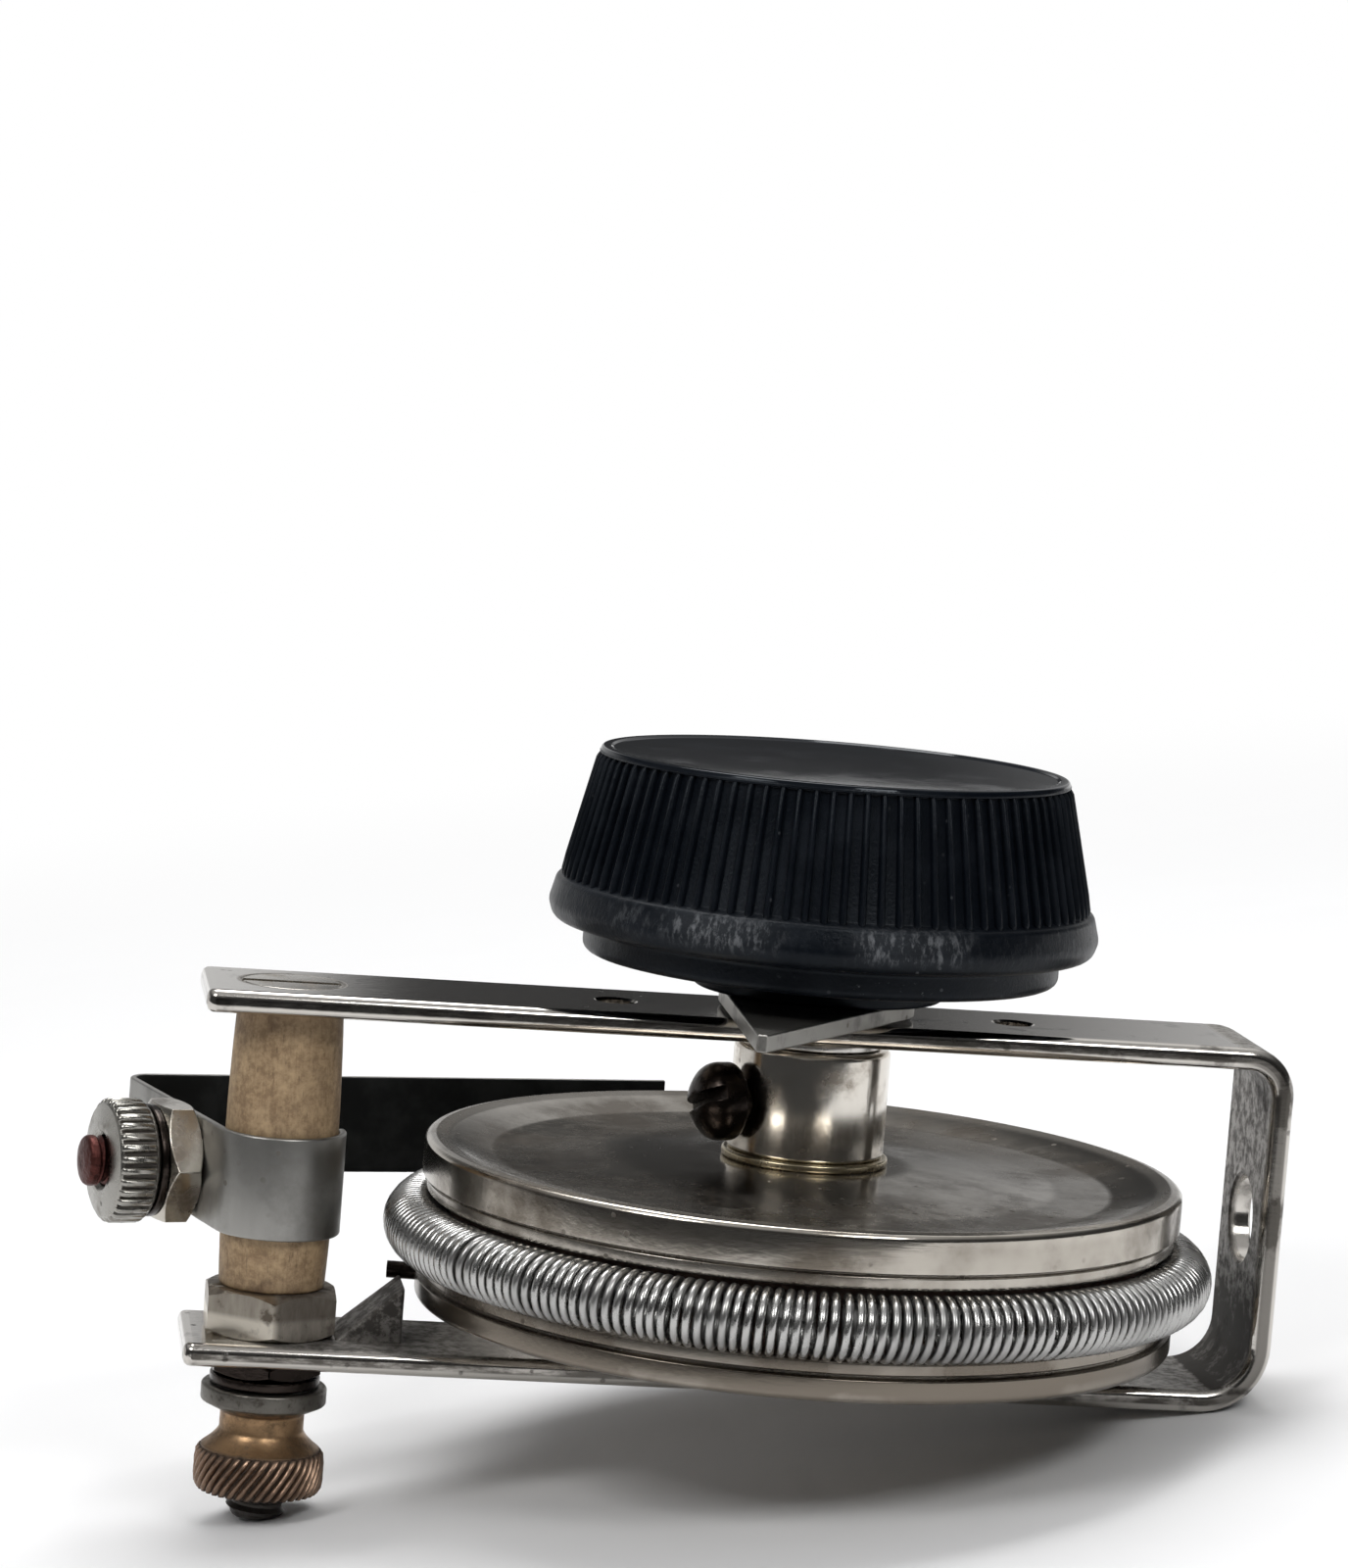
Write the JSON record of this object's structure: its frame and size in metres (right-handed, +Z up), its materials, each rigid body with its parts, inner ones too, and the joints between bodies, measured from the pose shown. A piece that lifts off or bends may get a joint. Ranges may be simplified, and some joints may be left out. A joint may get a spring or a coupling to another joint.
{
  "type": "radio rheostat",
  "caption": "Panel rheostat: a knob turns a wire-wound drum inside a U bracket while a leaf spring on an insulating post bears on the winding; knurled terminals.",
  "frame": {"origin": "on the shaft axis at the panel face of the bracket's upper arm, midway between the two panel screw holes", "axes": "+Z up the shaft to the knob, +X along the arms to the bracket's web, +Y towards the leaf spring's rear run"},
  "size_m": [0.0832, 0.0579, 0.0547],
  "materials": {
    "bracket_nickel": "nickel plate, polished, lightly tarnished",
    "steel": "plain turned steel",
    "brass": "turned brass",
    "hub_nickel": "nickel plate, bright",
    "blackened_steel": "dark oxide, worn",
    "shell_nickel": "nickel plate, tarnished and mottled",
    "fibre": "dark vulcanised fibre",
    "resistance_wire": "bright drawn resistance wire",
    "knob_black": "moulded black resin, scuffed",
    "pointer_metal": "dull grey plate",
    "post_wood": "turned hardwood, waxed and stained",
    "screw_metal": "nickel plate, worn",
    "nut_worn": "worn nickel over brass",
    "thumb_nut_brass": "browned brass, knurled",
    "spring_metal": "dull grey spring strip",
    "screw_copper": "red-brown tarnished stud",
    "thumb_nut_nickel": "nickel plate, worn, knurled"
  },
  "bodies": {
    "frame": {"bracket": "bracket_nickel", "insulating_post": "post_wood", "post_screw": "screw_metal", "post_hex_nut": "nut_worn", "lower_lock_nut": "blackened_steel", "contact_spring": "spring_metal", "terminal_screw": "screw_copper", "terminal_hex_nut": "nut_worn"},
    "rotor": {"shaft": "steel", "friction_washer": "steel", "thrust_spacer": "brass", "hub": "hub_nickel", "hub_washer": "brass", "hub_screw": "blackened_steel", "upper_shell": "shell_nickel", "lower_shell": "shell_nickel", "insulating_ring": "fibre", "resistance_coil": "resistance_wire", "coil_end_rivets": "brass", "stop_pin": "blackened_steel", "knob": "knob_black", "knob_bush": "brass", "knob_set_screw": "blackened_steel", "pointer": "pointer_metal"},
    "lower_clamp": {"lower_washer": "blackened_steel"},
    "lower_nut": {"lower_thumb_nut": "thumb_nut_brass"},
    "terminal_clamp": {"terminal_washer": "blackened_steel"},
    "terminal_nut": {"terminal_thumb_nut": "thumb_nut_nickel"}
  },
  "joints": [
    {"name": "control_turn", "type": "hinge", "parent": "frame", "child": "rotor", "pos_m": [0, 0, 0], "axis": [0, 0, -1], "range_deg": [0, 344]},
    {"name": "lower_nut_travel", "type": "slide", "parent": "frame", "child": "lower_clamp", "axis": [0, 0, -1], "range_m": [0, 0.00238]},
    {"name": "lower_nut_turn", "type": "hinge", "parent": "lower_clamp", "child": "lower_nut", "pos_m": [-0.0363, 0, -0.03], "axis": [0, 0, -1], "range_deg": [0, 1080]},
    {"name": "terminal_nut_travel", "type": "slide", "parent": "frame", "child": "terminal_clamp", "axis": [-0.9563, -0.2924, 0], "range_m": [0, 0.00238]},
    {"name": "terminal_nut_turn", "type": "hinge", "parent": "terminal_clamp", "child": "terminal_nut", "pos_m": [-0.04228, 0.00528, -0.01365], "axis": [-0.9563, -0.2924, 0], "range_deg": [0, 1080]}
  ],
  "couplings": [
    {"joint": "lower_nut_turn", "follows": "lower_nut_travel", "rad_per_m": 7915.8},
    {"joint": "terminal_nut_turn", "follows": "terminal_nut_travel", "rad_per_m": 7915.8}
  ]
}
